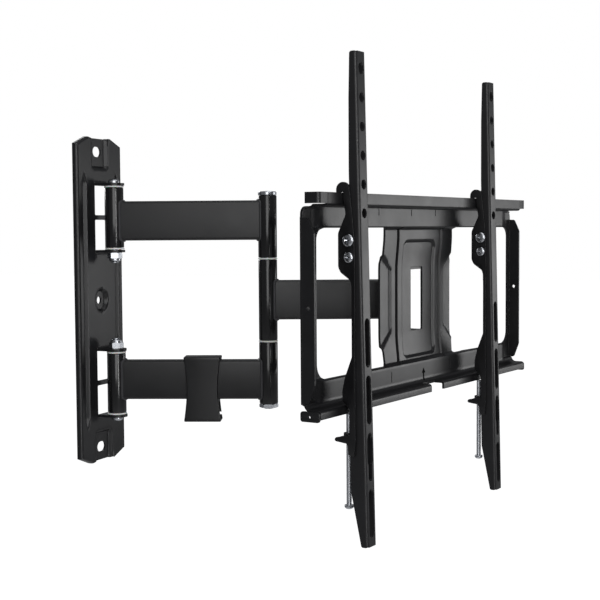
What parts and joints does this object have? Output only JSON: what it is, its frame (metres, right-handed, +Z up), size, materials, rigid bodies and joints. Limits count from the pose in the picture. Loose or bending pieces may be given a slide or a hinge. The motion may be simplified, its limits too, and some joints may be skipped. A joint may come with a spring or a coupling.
{
  "type": "full motion tv wall mount",
  "caption": "Black steel wall mount with a two-part folding arm, a swivelling slotted plate and tilting vertical TV rails",
  "frame": {"origin": "centre of the wall plate's back, on the wall", "axes": "+Y into the wall, +X to the right along the wall seen from the room, +Z up; the mount stands out towards -Y"},
  "size_m": [0.4498, 0.3707, 0.432],
  "materials": {
    "black_powder_coat": "satin black powder coat",
    "rail_powder_coat": "satin black powder coat, lighter in the light",
    "zinc_plated_steel": "bright zinc plating",
    "white_nylon": "white nylon",
    "black_plastic": "black moulded plastic"
  },
  "bodies": {
    "wall_bracket": {"lower_hinge_bolt": "zinc_plated_steel", "lower_hinge_nut": "zinc_plated_steel", "lower_hinge_washer_inner": "white_nylon", "lower_hinge_washer_outer": "white_nylon", "upper_hinge_bolt": "zinc_plated_steel", "upper_hinge_nut": "zinc_plated_steel", "upper_hinge_washer_inner": "white_nylon", "upper_hinge_washer_outer": "white_nylon", "wall_plate": "black_powder_coat"},
    "inner_arms": {"elbow_bolt": "zinc_plated_steel", "elbow_nut": "zinc_plated_steel", "elbow_washer_lower": "white_nylon", "elbow_washer_upper": "white_nylon", "lower_arm_tube": "black_powder_coat", "lower_elbow_barrel": "black_powder_coat", "lower_wall_barrel": "black_powder_coat", "upper_arm_tube": "black_powder_coat", "upper_elbow_barrel": "black_powder_coat", "upper_wall_barrel": "black_powder_coat"},
    "cable_clip": {"cable_clip": "black_plastic"},
    "outer_arm": {"outer_arm_tube": "black_powder_coat", "outer_elbow_barrel": "black_powder_coat", "swivel_barrel": "black_powder_coat"},
    "tv_plate": {"tv_plate": "black_powder_coat", "swivel_bolt": "zinc_plated_steel", "swivel_nut": "zinc_plated_steel", "swivel_washer_upper": "white_nylon", "swivel_washer_lower": "white_nylon", "lower_end_cap_left": "black_plastic", "lower_end_cap_right": "black_plastic"},
    "left_bracket": {"left_hook_bracket": "black_powder_coat", "left_tab_nut": "black_powder_coat"},
    "left_rail": {"left_tv_rail": "rail_powder_coat", "left_tilt_bolt": "zinc_plated_steel", "left_tilt_nut": "zinc_plated_steel", "left_lock_bolt": "zinc_plated_steel", "left_lock_nut": "zinc_plated_steel"},
    "left_safety_screw": {"left_safety_screw": "zinc_plated_steel"},
    "right_bracket": {"right_hook_bracket": "black_powder_coat", "right_tab_nut": "black_powder_coat"},
    "right_rail": {"right_tv_rail": "rail_powder_coat", "right_tilt_bolt": "zinc_plated_steel", "right_tilt_nut": "zinc_plated_steel", "right_lock_bolt": "zinc_plated_steel", "right_lock_nut": "zinc_plated_steel"},
    "right_safety_screw": {"right_safety_screw": "zinc_plated_steel"}
  },
  "joints": [
    {"name": "wall_hinge", "type": "hinge", "parent": "wall_bracket", "child": "inner_arms", "pos_m": [0, -0.0222, 0], "axis": [0, 0, 1], "range_deg": [-107, 62]},
    {"name": "elbow_hinge", "type": "hinge", "parent": "inner_arms", "child": "outer_arm", "pos_m": [0.05872, -0.16716, 0], "axis": [0, 0, -1], "range_deg": [-120, 88]},
    {"name": "plate_swivel", "type": "hinge", "parent": "outer_arm", "child": "tv_plate", "pos_m": [0.1141, -0.29028, 0], "axis": [0, 0, 1], "range_deg": [-50, 60]},
    {"name": "cable_clip_slide", "type": "slide", "parent": "inner_arms", "child": "cable_clip", "axis": [0.3754, -0.9269, 0], "range_m": [-0.055, 0.035]},
    {"name": "left_bracket_slide", "type": "slide", "parent": "tv_plate", "child": "left_bracket", "axis": [0.9888, -0.1494, 0], "range_m": [-0.025, 0.12]},
    {"name": "left_tilt", "type": "hinge", "parent": "left_bracket", "child": "left_rail", "pos_m": [-0.06653, -0.31174, 0.0616], "axis": [0.9888, -0.1494, 0], "range_deg": [-5, 2.5]},
    {"name": "left_screw_travel", "type": "slide", "parent": "left_bracket", "child": "left_safety_screw", "axis": [0, 0, 1], "range_m": [-0.018, 0.0003]},
    {"name": "right_bracket_slide", "type": "slide", "parent": "tv_plate", "child": "right_bracket", "axis": [0.9888, -0.1494, 0], "range_m": [-0.045, 0.1]},
    {"name": "right_tilt", "type": "hinge", "parent": "right_bracket", "child": "right_rail", "pos_m": [0.20637, -0.35296, 0.0616], "axis": [0.9888, -0.1494, 0], "range_deg": [-5, 2.5]},
    {"name": "right_screw_travel", "type": "slide", "parent": "right_bracket", "child": "right_safety_screw", "axis": [0, 0, 1], "range_m": [-0.018, 0.0003]}
  ],
  "couplings": [
    {"joint": "right_tilt", "follows": "left_tilt", "ratio": 1}
  ]
}
